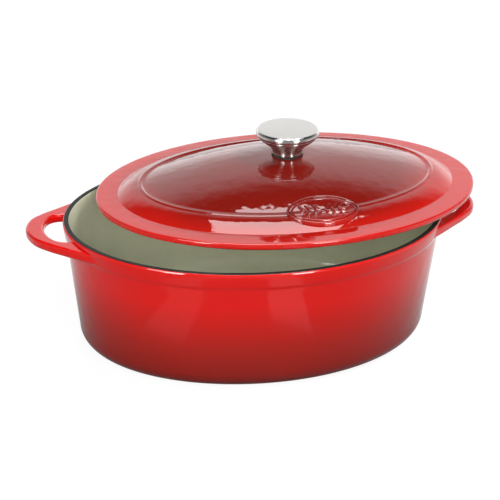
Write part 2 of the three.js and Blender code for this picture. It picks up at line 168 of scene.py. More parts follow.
def noise(tree, where, size, detail):
    """Cloudy noise whose lumps are about size metres across."""
    node = tree.nodes.new("ShaderNodeTexNoise")
    node.inputs["Scale"].default_value = 1 / size
    node.inputs["Detail"].default_value = detail
    tree.links.new(where, node.inputs["Vector"])
    return node.outputs["Fac"]


def remap(tree, value, low, high, to_low=0.0, to_high=1.0, soft=True):
    node = tree.nodes.new("ShaderNodeMapRange")
    node.interpolation_type = "SMOOTHSTEP" if soft else "LINEAR"
    for socket, number in zip(("From Min", "From Max", "To Min", "To Max"), (low, high, to_low, to_high)):
        node.inputs[socket].default_value = number
    tree.links.new(value, node.inputs["Value"])
    return node.outputs["Result"]


def arithmetic(tree, operation, a, b):
    node = tree.nodes.new("ShaderNodeMath")
    node.operation = operation
    for socket, value in zip(node.inputs, (a, b)):
        if isinstance(value, (int, float)):
            socket.default_value = value
        else:
            tree.links.new(value, socket)
    return node.outputs["Value"]


def ramp(tree, value, stops):
    node = tree.nodes.new("ShaderNodeValToRGB")
    while len(node.color_ramp.elements) < len(stops):
        node.color_ramp.elements.new(0.5)
    for element, (place, colour) in zip(node.color_ramp.elements, stops):
        element.position = place
        element.color = (*colour, 1)
    tree.links.new(value, node.inputs["Fac"])
    return node.outputs["Color"]


def bump(tree, height, depth, under=None):
    node = tree.nodes.new("ShaderNodeBump")
    node.inputs["Strength"].default_value = 1
    node.inputs["Distance"].default_value = depth
    tree.links.new(height, node.inputs["Height"])
    if under is not None:
        tree.links.new(under, node.inputs["Normal"])
    return node.outputs["Normal"]


def glaze(tree, finish, where, gloss=0.015, peel=24e-6, ripple=0.22e-3, wave=0.4e-3):
    """The fired glass surface: broad waves of the iron, ripples where it ran, a fine orange peel."""
    finish.inputs["IOR"].default_value = 1.6
    specks = noise(tree, where, 2.2 * MM, 3)
    tree.links.new(remap(tree, specks, 0.3, 0.7, gloss, gloss + 0.045), finish.inputs["Roughness"])
    waves = bump(tree, noise(tree, where, 34 * MM, 1), wave)
    ripples = bump(tree, noise(tree, where, 9 * MM, 1), ripple, waves)
    peeled = bump(tree, noise(tree, where, 3 * MM, 2), peel, ripples)
    tree.links.new(peeled, finish.inputs["Normal"])


def mottled(tree, finish, where, tones, cloud, rough, relief):
    """Colour, roughness and fine relief of a coat, each from noise of its own size and detail."""
    tree.links.new(ramp(tree, noise(tree, where, *cloud), tones), finish.inputs["Base Color"])
    size, detail, smoothest, roughest = rough
    specks = noise(tree, where, size, detail)
    tree.links.new(remap(tree, specks, 0.3, 0.7, smoothest, roughest), finish.inputs["Roughness"])
    size, detail, depth = relief
    tree.links.new(bump(tree, noise(tree, where, size, detail), depth), finish.inputs["Normal"])


BRIGHT_RED = (0.68, 0.0065, 0.0045)
DEEP_RED = (0.38, 0.0105, 0.0055)
MAROON = (0.195, 0.0085, 0.0045)
FADE_LOW = 12 * MM
FADE_HIGH = 88 * MM

red_pot, tree, finish, where = shader("red_enamel_pot")
height = tree.nodes.new("ShaderNodeSeparateXYZ")
tree.links.new(where, height.inputs["Vector"])
drift = arithmetic(tree, "MULTIPLY", noise(tree, where, 60 * MM, 3), 9 * MM)
spray = arithmetic(tree, "MULTIPLY", noise(tree, where, 1.1 * MM, 2), 5 * MM)
level = arithmetic(tree, "ADD", arithmetic(tree, "ADD", height.outputs["Z"], drift), spray)
# Darker towards the foot: partly the enamel's own colour, partly painted shade for the lower wall, which
# gets less light.
fade = remap(tree, level, FADE_LOW, FADE_HIGH, soft=False)
stops = [(0.0, MAROON), (0.42, DEEP_RED), (0.92, BRIGHT_RED)]
tree.links.new(ramp(tree, fade, stops), finish.inputs["Base Color"])
glaze(tree, finish, where)

dark_rim, tree, finish, where = shader("dark_matt_enamel_rim")
tones = [(0.3, (0.012, 0.016, 0.015)), (0.7, (0.026, 0.031, 0.028))]
finish.inputs["Specular IOR Level"].default_value = 0.1
mottled(tree, finish, where, tones, (3 * MM, 4), (1.4 * MM, 3, 0.38, 0.56), (1.2 * MM, 3, 30e-6))

cream, tree, finish, where = shader("cream_enamel_inside")
tones = [(0.25, (0.75, 0.76, 0.565)), (0.75, (0.81, 0.815, 0.625))]
tree.links.new(ramp(tree, noise(tree, where, 14 * MM, 4), tones), finish.inputs["Base Color"])
glaze(tree, finish, where, gloss=0.22)

for coat in (red_pot, dark_rim, cream):
    pot.data.materials.append(coat)


# Loop handles: cast in one with the pot, so the same iron and red enamel. Each is a rounded bar
# that leaves the band below the rim, runs round the finger gap and back, and swells into the
# wall at both roots.
LOOP_REACH = 29.68 * MM
LOOP_TIP_RADIUS = 35 * MM
LOOP_BAR = 14 * MM
LOOP_THICK = 7.4 * MM
LOOP_DROP = 3.9 * MM
LOOP_RISE = 2.8 * MM
LOOP_ROOT_SPAN = 52 * MM
GRIP_SPAN = 24.4 * MM
GRIP_RADIUS = 35 * MM
ROOT_FILLET = 2.5 * MM
ROOT_SWELL = 0.6 * MM
ROOT_FROM = 0.55
WALL_AT = 5 / 6
INNER_RUN = 6 * 5 * MM
BAR_ROUND = 2.7 * MM
BAR_ROUND_STEPS = 8
BAR_FLAT_MARGIN = 0.35 * MM
STATIONS_PER_SIDE = 66


def rim_at(y, inset):
    across = y / (RIM_HALF_WIDTH - inset)
    return (RIM_HALF_LENGTH - inset) * math.sqrt(1 - across * across)


def through(points, t):
    """The point at share t of a smooth curve from the tip, where it is level with its mirror image."""
    spans = len(points) - 1
    place = min(int(t * spans), spans - 1)
    u = t * spans - place
    p1, p2 = points[place], points[place + 1]
    p0 = points[place - 1] if place else Vector((p2.x, -p2.y, 0))
    p3 = points[place + 2] if place + 2 <= spans else p2 + (p2 - p1)
    d0, d1, d2 = (max((b - a).length, 1e-9) ** 0.5 for a, b in ((p0, p1), (p1, p2), (p2, p3)))
    leave = ((p1 - p0) / d0 - (p2 - p0) / (d0 + d1) + (p2 - p1) / d1) * d1
    arrive = ((p2 - p1) / d1 - (p3 - p1) / (d1 + d2) + (p3 - p2) / d2) * d1
    a = 2 * (p1 - p2) + leave + arrive
    b = 3 * (p2 - p1) - 2 * leave - arrive
    return ((a * u + b) * u + leave) * u + p1


def on_arc(top, radius, degrees):
    a = math.radians(degrees)
    return Vector((top - radius + radius * math.cos(a), radius * math.sin(a), 0))


FLANK_DEGREES = 56
tip = RIM_HALF_LENGTH + LOOP_REACH
flank_start = on_arc(tip, LOOP_TIP_RADIUS, FLANK_DEGREES)
flank_end = Vector((rim_at(LOOP_ROOT_SPAN, -BAND_PROUD / 2), LOOP_ROOT_SPAN, 0))
run_out = 1.2 * LOOP_ROOT_SPAN
outer_edge = [
    on_arc(tip, LOOP_TIP_RADIUS, 0),
    on_arc(tip, LOOP_TIP_RADIUS, 30),
    flank_start,
    flank_start.lerp(flank_end, 0.34),
    flank_start.lerp(flank_end, 0.7),
    flank_end,
    Vector((rim_at(run_out, BAND_PROUD / 2), run_out, 0)),
]
grip_tip = tip - LOOP_BAR
grip_wall = rim_at(GRIP_SPAN, 0)
inner_edge = [
    on_arc(grip_tip, GRIP_RADIUS, 0),
    on_arc(grip_tip, GRIP_RADIUS, 18),
    on_arc(grip_tip, GRIP_RADIUS, 34),
    Vector((grip_wall + 0.47 * (grip_tip - grip_wall), 0.95 * GRIP_SPAN, 0)),
    Vector((grip_wall + 0.22 * (grip_tip - grip_wall), GRIP_SPAN, 0)),
    Vector((grip_wall, 0.99 * GRIP_SPAN, 0)),
    Vector((rim_at(0.96 * GRIP_SPAN, POT_WALL / 2), 0.96 * GRIP_SPAN, 0)),
]


def bar_section(wide, thick):
    """Points round a flat bar with rounded edges, as (across, up) from its middle."""
    turn = min(BAR_ROUND, 0.4 * thick, 0.4 * wide)
    points = []
    for k, (right, up) in enumerate(((1, 1), (-1, 1), (-1, -1), (1, -1))):
        x, z = right * (0.5 * wide - turn), up * (0.5 * thick - turn)
        first, last = k * math.pi / 2, (k + 1) * math.pi / 2
        before = Vector((math.sin(first), -math.cos(first))) * BAR_FLAT_MARGIN
        after = Vector((-math.sin(last), math.cos(last))) * BAR_FLAT_MARGIN
        points.append((x + turn * math.cos(first) + before.x, z + turn * math.sin(first) + before.y))
        for a in steps_between(first, last, BAR_ROUND_STEPS):
            points.append((x + turn * math.cos(a), z + turn * math.sin(a)))
        points.append((x + turn * math.cos(last) + after.x, z + turn * math.sin(last) + after.y))
    return points


def loop_rings(side):
    rings = []
    for s in range(STATIONS_PER_SIDE, -STATIONS_PER_SIDE - 1, -1):
        t = abs(s) / STATIONS_PER_SIDE
        outer = through(outer_edge, t)
        inner = through(inner_edge, t)
        root = ease((t - ROOT_FROM) / (1 - ROOT_FROM))
        clear = min(max((WALL_AT - t) * INNER_RUN, 0.0), ROOT_FILLET)
        swell = ROOT_FILLET - math.sqrt(ROOT_FILLET ** 2 - (ROOT_FILLET - clear) ** 2)
        inner = inner - (outer - inner).normalized() * swell
        thick = LOOP_THICK + ROOT_SWELL * root
        middle = POT_HEIGHT - LOOP_DROP - LOOP_THICK / 2 + ROOT_SWELL / 2 * root
        wide = (outer - inner).length
        hand = -1 if s < 0 else 1
        ring = []
        for across, up in bar_section(wide, thick):
            p = inner.lerp(outer, 0.5 + across / wide)
            rise = LOOP_RISE * max(p.x - flank_end.x, 0) / (tip - flank_end.x)
            ring.append(Vector((side * p.x, side * hand * p.y, middle + up + rise)))
        rings.append(ring)
    return rings


loops = []
for side in (1, -1):
    rings = loop_rings(side)
    name = "loop_handle_right" if side > 0 else "loop_handle_left"
    loop = skin(name, rings, [RED_COAT] * len(rings))
    loop.data.materials.append(red_pot)
    loops.append(loop)

for piece in (pot, *loops):
    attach(piece, "pot")
    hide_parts("pot")


# Lid: a second casting that drops into the mouth by a rib below its flat flange. A shoulder, a
# raised bead and a dome lead up to the landing of the knob. Red enamel on top, deepest round
# the knob; cream below, and dark matt enamel where it sits on the rim. The red is painted
# lighter on the right side of the lid, as painted light from that side.
LID_OVERHANG = 3.38 * MM
LID_EDGE = 4.8 * MM
LID_WALL = 4.4 * MM
LID_EDGE_ROUND = 1.5 * MM
FLANGE_WIDTH = 17.1 * MM
FLANGE_CROWN = 0.1 * MM
BEAD_INSET = 35 * MM
BEAD_WIDTH = 3 * MM
BEAD_RISE = 0.9 * MM
SHOULDER_RISE = 7.6 * MM
SHOULDER_BULGE = 0.62
DOME_RISE = 25 * MM
DOME_FULLNESS = 1.7
DOME_INSIDE_SET_IN = 1.2 * MM
LANDING_RADIUS = 14 * MM
RIB_HEIGHT = 4.5 * MM
RIB_WIDTH = 4 * MM
MOUTH_CLEARANCE = 1.5 * MM
SEAT_GAP = 0.3 * MM
SCREW_HOLE = 3.25 * MM
LID_SHIFT = (30.3 * MM, 20.5 * MM)
LID_TILT = (-0.021, -0.008, 0.052)

lid_length = RIM_HALF_LENGTH + LID_OVERHANG
lid_width = RIM_HALF_WIDTH + LID_OVERHANG
rib_inset = LID_OVERHANG + POT_WALL + MOUTH_CLEARANCE
tilt_drop = math.hypot(
    (lid_length - rib_inset) * math.sin(LID_TILT[1]), (lid_width - rib_inset) * math.sin(LID_TILT[0])
)
lid_rest = POT_HEIGHT + SEAT_GAP + RIB_HEIGHT + LID_EDGE + tilt_drop
lid_turn = Matrix.Rotation(LID_TILT[2], 4, "Z") @ Matrix.Rotation(LID_TILT[1], 4, "Y")
lid_turn = lid_turn @ Matrix.Rotation(LID_TILT[0], 4, "X")
lid_place = Matrix.Translation((*LID_SHIFT, lid_rest)) @ lid_turn

dome_start = BEAD_INSET + 0.8 * BEAD_WIDTH
shoulder_top = BEAD_INSET - 0.8 * BEAD_WIDTH


def shoulder_height(inset):
    u = min(max((inset - FLANGE_WIDTH) / (shoulder_top - FLANGE_WIDTH), 0), 1)
    return SHOULDER_RISE * mix(u, math.sin(0.5 * math.pi * u) ** 0.9, SHOULDER_BULGE)


def dome_height(u):
    return SHOULDER_RISE + (DOME_RISE - SHOULDER_RISE) * (1 - (1 - u) ** DOME_FULLNESS)


def lid_row(inset, z):
    return (lid_length - inset, lid_width - inset, z)


def dome_row(u, drop=0.0, grow=0.0):
    length = mix(lid_length - dome_start, LANDING_RADIUS, u) + grow
    width = mix(lid_width - dome_start, LANDING_RADIUS, u) + grow
    return (length, width, dome_height(u) - drop)


lid_rows = []
for a in steps_between(-math.pi / 2, 0, 8):
    z = -LID_EDGE + LID_EDGE_ROUND * (1 + math.sin(a))
    lid_rows.append((lid_row(LID_EDGE_ROUND * (1 - math.cos(a)), z), RED_COAT))
for a in steps_between(0, math.pi / 2, 8):
    z = LID_EDGE_ROUND * (math.sin(a) - 1)
    lid_rows.append((lid_row(LID_EDGE_ROUND * (1 - math.cos(a)), z), RED_COAT))
for t in steps_between(0, 1, 6)[1:]:
    inset = mix(LID_EDGE_ROUND, FLANGE_WIDTH - 0.6 * MM, t)
    lid_rows.append((lid_row(inset, FLANGE_CROWN * t), RED_COAT))
for t in steps_between(0, 1, 26)[1:]:
    inset = mix(FLANGE_WIDTH, shoulder_top, t ** 1.6)
    lid_rows.append((lid_row(inset, max(shoulder_height(inset), 0.12 * MM)), RED_COAT))
for t in steps_between(-0.8, 0.8, 16)[1:]:
    lift = BEAD_RISE * math.cos(0.5 * math.pi * t / 0.8) ** 1.4 if abs(t) < 0.8 else 0
    lid_rows.append((lid_row(BEAD_INSET + t * BEAD_WIDTH, SHOULDER_RISE + lift), RED_COAT))
for u in steps_between(0, 1, 40)[1:]:
    lid_rows.append((dome_row(u), RED_COAT))
for radius in (0.8 * LANDING_RADIUS, SCREW_HOLE):
    lid_rows.append(((radius, radius, DOME_RISE), RED_COAT))
lid_rows.append(((SCREW_HOLE, SCREW_HOLE, DOME_RISE - LID_WALL), CREAM_COAT))
for u in steps_between(1, 0, 30):
    lid_rows.append((dome_row(u, LID_WALL, -DOME_INSIDE_SET_IN * (1 - u)), CREAM_COAT))
below = [
    (BEAD_INSET - 0.5 * BEAD_WIDTH, SHOULDER_RISE - LID_WALL - 0.5 * MM),
    (FLANGE_WIDTH + 8 * MM, SHOULDER_RISE - LID_WALL - 2.4 * MM),
    (FLANGE_WIDTH + 4.6 * MM, -LID_EDGE + 2.6 * MM),
    (FLANGE_WIDTH + 2 * MM, -LID_EDGE + 0.7 * MM),
    (FLANGE_WIDTH, -LID_EDGE),
]
lid_rows += [(lid_row(inset, z), CREAM_COAT) for inset, z in below]
rib_low = -LID_EDGE - RIB_HEIGHT
rib = [
    (rib_inset + RIB_WIDTH + 0.8 * MM, -LID_EDGE),
    (rib_inset + RIB_WIDTH + 0.2 * MM, -LID_EDGE - 0.25 * MM),
    (rib_inset + RIB_WIDTH, -LID_EDGE - 0.8 * MM),
    (rib_inset + RIB_WIDTH - 0.35 * MM, rib_low + 1.1 * MM),
    (rib_inset + RIB_WIDTH - 0.65 * MM, rib_low + 0.35 * MM),
    (rib_inset + RIB_WIDTH - 1.3 * MM, rib_low),
    (rib_inset + 1.3 * MM, rib_low),
    (rib_inset + 0.65 * MM, rib_low + 0.35 * MM),
    (rib_inset + 0.35 * MM, rib_low + 1.1 * MM),
    (rib_inset, -LID_EDGE - 0.8 * MM),
    (rib_inset - 0.2 * MM, -LID_EDGE - 0.25 * MM),
    (rib_inset - 0.8 * MM, -LID_EDGE),
    (0.5 * rib_inset, -LID_EDGE),
]
lid_rows += [(lid_row(inset, z), DARK_COAT) for inset, z in rib]

lid_rings = [oval(*row) for row, coat in lid_rows]
lid = skin("lid_casting", lid_rings, [coat for row, coat in lid_rows], joined=True)
lid.data.transform(lid_place)


def lid_frame(tree, where, size=(1, 1, 1)):
    """Coordinates that lie in the lid, so that its colours stay with it however it is set down."""
    node = tree.nodes.new("ShaderNodeMapping")
    node.vector_type = "TEXTURE"
    node.inputs["Location"].default_value = lid_place.to_translation()
    node.inputs["Rotation"].default_value = lid_place.to_euler()
    node.inputs["Scale"].default_value = size
    tree.links.new(where, node.inputs["Vector"])
    return node.outputs["Vector"]


# Painted light: the fade's middle is moved to the left, so the right side of the lid is lighter, as where
# more light falls.
FADE_SHIFT_FOR_LIGHT = 0.05
FADE_WIDER = 14 * MM
FADE_NEAR = 0.2
FADE_FAR = 1.5

red_lid, tree, finish, where = shader("red_enamel_lid")
fade_oval = (lid_length - dome_start, lid_width - dome_start + FADE_WIDER, 1)
flat = tree.nodes.new("ShaderNodeVectorMath")
flat.operation = "MULTIPLY_ADD"
flat.inputs[1].default_value = (1, 1, 0)
flat.inputs[2].default_value = (FADE_SHIFT_FOR_LIGHT, 0, 0)
tree.links.new(lid_frame(tree, where, fade_oval), flat.inputs[0])
reach = tree.nodes.new("ShaderNodeVectorMath")
reach.operation = "LENGTH"
tree.links.new(flat.outputs["Vector"], reach.inputs[0])
drift = arithmetic(tree, "MULTIPLY", noise(tree, where, 50 * MM, 3), 0.12)
spray = arithmetic(tree, "MULTIPLY", noise(tree, where, 1.1 * MM, 2), 0.06)
spread = arithmetic(tree, "ADD", arithmetic(tree, "ADD", reach.outputs["Value"], drift), spray)
fade = remap(tree, spread, FADE_NEAR, FADE_FAR, soft=False)
stops = [
    (0.38, (0.21, 0.0085, 0.0045)),
    (0.57, (0.22, 0.009, 0.005)),
    (0.66, (0.30, 0.0095, 0.0055)),
    (0.73, (0.45, 0.010, 0.006)),
    (0.79, (0.55, 0.010, 0.006)),
    (0.83, (0.60, 0.010, 0.007)),
    (0.88, (0.63, 0.010, 0.007)),
]
tree.links.new(ramp(tree, fade, stops), finish.inputs["Base Color"])
glaze(tree, finish, where)

for coat in (red_lid, dark_rim, cream):
    lid.data.materials.append(coat)


# Medallion: an oval plaque cast on the front of the lid across the bead, with two raised borders
# and a spray of leaves in low relief, all under the same red enamel.
MEDAL_HALF_LENGTH = 28.5 * MM
MEDAL_HALF_WIDTH = 16.3 * MM
MEDAL_RISE = 2 * MM
MEDAL_X = 6 * MM
MEDAL_BACK = 1 * MM
MEDAL_DEPTH = 2 * MM
MEDAL_FOLLOWS_LID = 0.75
MEDAL_STEPS = 320
FIELD_RINGS = 72
FIELD_INSET = 4.7 * MM
HALVINGS = 40
medal_y = MEDAL_BACK - (lid_width - BEAD_INSET)
field = 0.1 * MEDAL_RISE


def lid_height(x, y):
    """The lid's height at a point, from the inset of the oval that passes through it."""
    low, high = 0.0, lid_width - LANDING_RADIUS
    for _ in range(HALVINGS):
        inset = 0.5 * (low + high)
        if math.hypot(x / (lid_length - inset), y / (lid_width - inset)) < 1:
            low = inset
        else:
            high = inset
    if low < dome_start:
        return shoulder_height(low)
    return dome_height(min((low - dome_start) / (lid_width - dome_start - LANDING_RADIUS), 1))


LEAF_LONG = 9.8 * MM
LEAF_HALF = 1.7 * MM
LEAF_RISE = 1.7 * MM
LEAF_LEAN = math.radians(46)
LEAF_STEP = 5.3 * MM
FIRST_LEAF = 0.9 * MM
END_LEAF = 12.3 * MM
STALK_HALF_LONG = 19 * MM
STALK_HALF_WIDE = 0.5 * MM
STALK_SHARE = 0.6
leaves = []
for side in (1, -1):
    leaves.append((side * END_LEAF, 0 if side > 0 else math.pi))
    for step in range(3):
        stem = side * (FIRST_LEAF + LEAF_STEP * step)
        for lean in (LEAF_LEAN, -LEAF_LEAN):
            leaves.append((stem, lean if side > 0 else math.pi - lean))


def leaf_relief(x, y):
    best = 0.0
    for stem, turn in leaves:
        along = ((x - stem) * math.cos(turn) + y * math.sin(turn)) / LEAF_LONG
        across = abs(y * math.cos(turn) - (x - stem) * math.sin(turn)) / LEAF_HALF
        if 0 < along < 1:
            share = 1 - across / max(math.sin(math.pi * along ** 0.8), 1e-6)
            best = max(best, ease(share * 1.8))
    stalk = ease(1.5 - abs(y) / STALK_HALF_WIDE) if abs(x) < STALK_HALF_LONG else 0.0
    return LEAF_RISE * max(best, STALK_SHARE * stalk)


def medal_ring(inset, rise, size=1.0, carved=False):
    ring = []
    for p in oval(size * (MEDAL_HALF_LENGTH - inset), size * (MEDAL_HALF_WIDTH - inset), 0, MEDAL_STEPS):
        x, y = MEDAL_X + p.x, medal_y + p.y
        lean = mix(SHOULDER_RISE, lid_height(x, y), MEDAL_FOLLOWS_LID)
        leaf = leaf_relief(p.x, p.y) if carved else 0.0
        ring.append(Vector((x, y, lean + rise + leaf)))
    return ring


def raised_ring(outside, wide, high):
    """The rows across one half-round border, from its outer foot to its inner one."""
    rows = []
    for a in steps_between(0, math.pi, 10):
        rows.append((outside + 0.5 * wide * (1 - math.cos(a)), mix(field, high, math.sin(a) ** 0.7)))
    return rows


border = [(0.0, -MEDAL_DEPTH), (0.0, -0.4 * MEDAL_RISE)]
border += raised_ring(0.0, 1.9 * MM, MEDAL_RISE)
border += [(2.4 * MM, field)]
border += raised_ring(2.9 * MM, 1.5 * MM, 0.95 * MEDAL_RISE)
medal_rings = [medal_ring(inset, rise) for inset, rise in border]
for size in steps_between(1.0, 0.01, FIELD_RINGS):
    medal_rings.append(medal_ring(FIELD_INSET, field, size, carved=True))
medal = skin("lid_medallion", medal_rings, [0] * len(medal_rings))
medal.data.transform(lid_place)
medal.data.materials.append(red_lid)

for piece in (lid, medal):
    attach(piece, "lid")
    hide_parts("lid")


# Knob cap: a disc of stainless sheet with its edge pressed down and rolled, turned satin on top
# and polished round the edge. It is pressed over the neck and welded from inside.
KNOB_RADIUS = 25.2 * MM
KNOB_FACE_RADIUS = 22.5 * MM
KNOB_HEIGHT = 22.28 * MM
CAP_DEPTH = 5.8 * MM
CAP_TUCK = 1.8 * MM
SHEET = 1.4 * MM
KNOB_STEPS = 128
SATIN, POLISHED = 0, 1

knob_top = DOME_RISE + KNOB_HEIGHT
cap_low = knob_top - CAP_DEPTH
cap_edge = KNOB_RADIUS - CAP_TUCK


def turned(name, rows, joined=False):
    """A round piece from (radius, height, coat) rows, set in its place on the lid."""
    rings = [oval(r, r, z, KNOB_STEPS) for r, z, coat in rows]
    piece = skin(name, rings, [coat for r, z, coat in rows], joined)
    piece.data.transform(lid_place)
    return piece


FACE_MIDDLE = 0.2 * MM
FACE_CROWN = 0.3 * MM
cap_rows = [
    (FACE_MIDDLE, knob_top - SHEET, SATIN),
    (KNOB_FACE_RADIUS - 1 * MM, knob_top - SHEET - 0.3 * MM, SATIN),
    (KNOB_RADIUS - 2.2 * MM, knob_top - SHEET - 1.4 * MM, SATIN),
    (KNOB_RADIUS - 1.7 * MM, cap_low + 0.4 * CAP_DEPTH, SATIN),
    (cap_edge - SHEET, cap_low + 0.15 * MM, POLISHED),
    (cap_edge - SHEET + 0.3 * MM, cap_low, POLISHED),
    (cap_edge - 0.5 * MM, cap_low, POLISHED),
]
cap_bend = 0.4 * CAP_DEPTH
for a in steps_between(-math.pi / 2, 0, 10)[1:]:
    r = mix(cap_edge - 0.4 * MM, KNOB_RADIUS, math.cos(a) ** 0.9)
    cap_rows.append((r, cap_low + cap_bend * (1 + math.sin(a)), POLISHED))
for a in steps_between(0, math.pi / 2, 16)[1:]:
    r = mix(KNOB_FACE_RADIUS, KNOB_RADIUS, math.cos(a) ** 0.8)
    z = cap_low + cap_bend + (CAP_DEPTH - cap_bend - FACE_CROWN) * math.sin(a)
    cap_rows.append((r, z, POLISHED))
cap_rows[-1] = (*cap_rows[-1][:2], SATIN)
for t in steps_between(0, 1, 12)[1:]:
    cap_rows.append((mix(KNOB_FACE_RADIUS, FACE_MIDDLE, t), knob_top - FACE_CROWN * (1 - t) ** 2, SATIN))
cap = turned("knob_cap_pressing", cap_rows)

satin_steel, tree, finish, where = shader("satin_stainless")
finish.inputs["Metallic"].default_value = 1
rings_of = tree.nodes.new("ShaderNodeTexWave")
rings_of.wave_type = "RINGS"
rings_of.rings_direction = "Z"
rings_of.inputs["Scale"].default_value = 420
rings_of.inputs["Distortion"].default_value = 1.2
rings_of.inputs["Detail"].default_value = 3
tree.links.new(lid_frame(tree, where), rings_of.inputs["Vector"])
tones = [(0.0, (0.53, 0.515, 0.50)), (1.0, (0.61, 0.595, 0.58))]
tree.links.new(ramp(tree, noise(tree, where, 5 * MM, 4), tones), finish.inputs["Base Color"])
tree.links.new(remap(tree, rings_of.outputs["Fac"], 0, 1, 0.26, 0.4), finish.inputs["Roughness"])
tree.links.new(bump(tree, rings_of.outputs["Fac"], 6e-6), finish.inputs["Normal"])


def turned_grain(tree, finish, strength):
    """Fine grooves that run round the knob, so that lights are drawn out across them."""
    tangent = tree.nodes.new("ShaderNodeTangent")
    tangent.direction_type = "RADIAL"
    tangent.axis = "Z"
    tree.links.new(tangent.outputs["Tangent"], finish.inputs["Tangent"])
    finish.inputs["Anisotropic"].default_value = strength
    finish.inputs["Anisotropic Rotation"].default_value = 0.25


turned_grain(tree, finish, 0.3)

polished_steel, tree, finish, where = shader("polished_stainless")
finish.inputs["Metallic"].default_value = 1
turned_grain(tree, finish, 0.75)
tones = [(0.2, (0.52, 0.505, 0.49)), (0.8, (0.62, 0.605, 0.59))]
mottled(tree, finish, where, tones, (8 * MM, 3), (1.5 * MM, 4, 0.17, 0.26), (3 * MM, 2, 4e-6))

for coat in (satin_steel, polished_steel):
    cap.data.materials.append(coat)


# Knob stem: a stainless neck spun to a trumpet and left with the fine grooves of the lathe. Its
# lip fits inside the cap, and the foot is turned in to hold the threaded boss.
NECK_RADIUS = 12.4 * MM
GASKET_THICK = 0.8 * MM
SPIGOT_HOLE = 6.2 * MM
SLIDE_GAP = 0.35 * MM

stem_foot = DOME_RISE + 2 * SEAT_GAP + GASKET_THICK
stem_top = cap_low - 0.15 * MM
lip = cap_edge - SHEET - SLIDE_GAP


def stem_radius(u):
    return NECK_RADIUS + (cap_edge - 0.2 * MM - NECK_RADIUS) * ease(u) ** 1.8


stem_rows = [
    (SPIGOT_HOLE, stem_foot),
    (NECK_RADIUS - 1 * MM, stem_foot),
    (NECK_RADIUS - 0.3 * MM, stem_foot + 0.12 * MM),
]
stem_rows += [(stem_radius(u), mix(stem_foot, stem_top, u)) for u in steps_between(0.05, 0.985, 34)]
stem_rows += [(stem_radius(1) - 0.2 * MM, stem_top), (lip, stem_top), (lip, stem_top + 0.3 * CAP_DEPTH)]
stem_rows += [(lip - SHEET, stem_top + 0.3 * CAP_DEPTH)]
for u in steps_between(0.9, 0.16, 16):
    stem_rows.append((stem_radius(u) - SHEET, mix(stem_foot, stem_top, u) + 0.5 * MM))
stem_rows += [(NECK_RADIUS - SHEET - 0.4 * MM, stem_foot + SHEET), (SPIGOT_HOLE, stem_foot + SHEET)]
stem = turned("knob_stem_spinning", [(r, z, 0) for r, z in stem_rows], joined=True)

spun_steel, tree, finish, where = shader("spun_stainless")
finish.inputs["Metallic"].default_value = 1
turned_grain(tree, finish, 1)
tones = [(0.2, (0.51, 0.48, 0.455)), (0.8, (0.61, 0.58, 0.555))]
mottled(tree, finish, where, tones, (6 * MM, 3), (1.2 * MM, 4, 0.24, 0.27), (2 * MM, 2, 1e-6))
stem.data.materials.append(spun_steel)

for piece, node in ((cap, "knob_cap"), (stem, "knob_stem")):
    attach(piece, "lid")
    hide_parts(node)


# Gasket: a thin ring punched from heat-proof sheet, laid between the knob and the enamel. Its
# dark colour is painted shade, for the dark line of shade at the foot of the knob.
# The boss, screw and washers are plain zinc-plated steel, drawn up from below the lid.
shade_dark_gasket, tree, finish, where = shader("gasket_dark_as_painted_shade")
# Painted shade: near black, so that the ring reads as the line of shade under the knob.
tones = [(0.3, (0.028, 0.024, 0.022)), (0.7, (0.05, 0.043, 0.04))]
mottled(tree, finish, where, tones, (1 * MM, 4), (0.6 * MM, 3, 0.65, 0.85), (0.7 * MM, 3, 40e-6))

zinc, tree, finish, where = shader("zinc_plated_steel")
finish.inputs["Metallic"].default_value = 1
tones = [(0.25, (0.46, 0.47, 0.48)), (0.75, (0.60, 0.61, 0.60))]
mottled(tree, finish, where, tones, (2.5 * MM, 5), (1 * MM, 4, 0.28, 0.5), (0.8 * MM, 3, 12e-6))

for node, coat in (
    ("knob_gasket", shade_dark_gasket),
    ("knob_boss", zinc),
    ("knob_screw", zinc),
    ("screw_washer", zinc),
    ("lock_washer", zinc),
):
    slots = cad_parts[node].data.materials
    slots.clear()
    slots.append(coat)


# Studio: a pale floor and a white room with a bright panel at the back. Plain fills and two soft
# boxes in front light the object. A box overhead, two low strips and two pale patches of the
# floor show only in the gloss.
FLOOR_RADIUS = 4
FLOOR_PLACE = (0, 0, -0.6 * MM)
FLOOR_GREY = 0.2
NEAR_GLOW, FAR_GLOW = 0.87, 0.97
PATCHES = ((-0.13, 0.2), (0.028, 0.34))
PATCH_HALF, PATCH_FADED = 0.024, 0.032
bpy.ops.mesh.primitive_circle_add(vertices=96, radius=FLOOR_RADIUS, fill_type="NGON", location=FLOOR_PLACE)
floor = bpy.context.object
floor.name = "studio_floor"

floor_paint = bpy.data.materials.new("studio_floor_paint")
floor_paint.use_nodes = True
tree = floor_paint.node_tree
tree.nodes.clear()
out = tree.nodes.new("ShaderNodeOutputMaterial")
matt = tree.nodes.new("ShaderNodeBsdfDiffuse")
matt.inputs["Color"].default_value = (FLOOR_GREY, FLOOR_GREY, FLOOR_GREY, 1)
glow = tree.nodes.new("ShaderNodeEmission")
spot = tree.nodes.new("ShaderNodeSeparateXYZ")
on_floor = tree.nodes.new("ShaderNodeTexCoord").outputs["Object"]
tree.links.new(on_floor, spot.inputs["Vector"])
rays = tree.nodes.new("ShaderNodeLightPath")
aside = arithmetic(tree, "MULTIPLY", arithmetic(tree, "ABSOLUTE", spot.outputs["X"], 0), 0.5)
more_right = arithmetic(tree, "ADD", aside, arithmetic(tree, "MULTIPLY", spot.outputs["X"], 0.3))
shade = remap(tree, arithmetic(tree, "ADD", spot.outputs["Y"], more_right), -0.1, 0.3)
